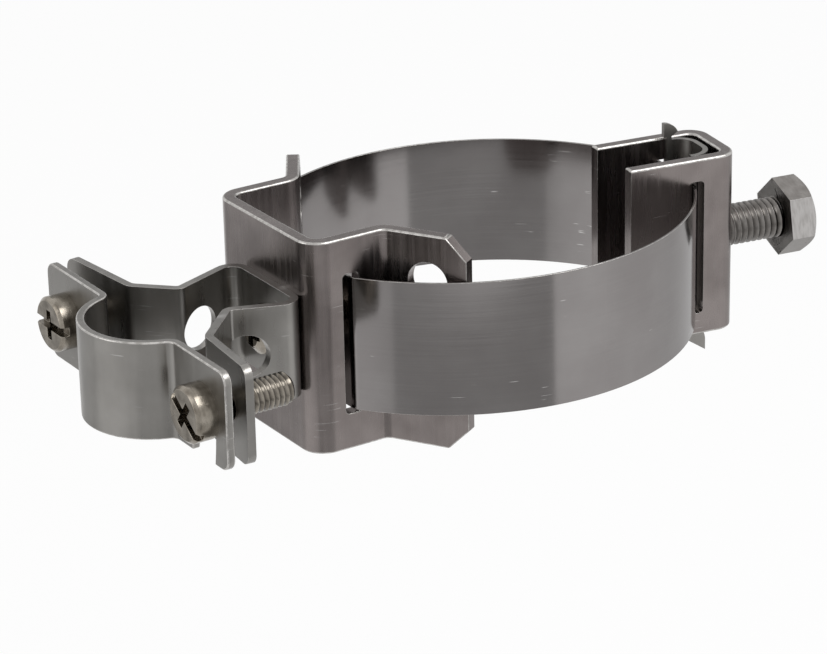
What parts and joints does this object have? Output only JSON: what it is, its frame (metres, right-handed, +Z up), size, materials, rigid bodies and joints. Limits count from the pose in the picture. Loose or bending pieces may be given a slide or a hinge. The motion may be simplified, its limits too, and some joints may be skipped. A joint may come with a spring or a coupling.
{
  "type": "strap-mounted conductor holder",
  "caption": "Stainless holder strapped round a mast, with a screw clip that clamps a round conductor parallel to it.",
  "frame": {"origin": "axis of the mast at mid-height of the strap", "axes": "+Z up along the mast, +X from the bracket and clip towards the tightening head, +Y to the left seen from the clip"},
  "size_m": [0.1513, 0.0728, 0.0427],
  "materials": {
    "heavy_sheet": "satin",
    "strap_steel": "smooth rolled",
    "clip_sheet": "satin",
    "saddle_steel": "satin",
    "screw_steel": "bright"
  },
  "bodies": {
    "holder": {"pipe_bracket": "heavy_sheet", "tension_strap": "strap_steel", "tension_head": "heavy_sheet", "clip_base": "clip_sheet", "clip_fixing_screw": "screw_steel", "clip_fixing_washer": "screw_steel", "clip_fixing_nut": "screw_steel"},
    "saddle": {"tension_saddle": "saddle_steel"},
    "bolt": {"tension_bolt": "screw_steel"},
    "cap": {"clip_cap": "clip_sheet"},
    "front_screw": {"clamp_screw_front": "screw_steel"},
    "rear_screw": {"clamp_screw_rear": "screw_steel"}
  },
  "joints": [
    {"name": "saddle_slide", "type": "slide", "parent": "holder", "child": "saddle", "axis": [0.9867, -0.1626, 0], "range_m": [0, 0.001]},
    {"name": "bolt_turn", "type": "hinge", "parent": "saddle", "child": "bolt", "pos_m": [0.0592, -0.00976, 0], "axis": [0.9867, -0.1626, 0], "range_deg": [0, 288]},
    {"name": "cap_swing", "type": "hinge", "parent": "holder", "child": "cap", "pos_m": [-0.0706, 0.0209, 0.0007], "axis": [-1, 0, 0], "range_deg": [0, 170]},
    {"name": "front_screw_undo", "type": "slide", "parent": "holder", "child": "front_screw", "axis": [-1, 0, 0], "range_m": [0, 0.006]},
    {"name": "rear_screw_undo", "type": "slide", "parent": "holder", "child": "rear_screw", "axis": [-1, 0, 0], "range_m": [0, 0.006]}
  ],
  "couplings": [
    {"joint": "bolt_turn", "follows": "saddle_slide", "rad_per_m": 5026}
  ]
}
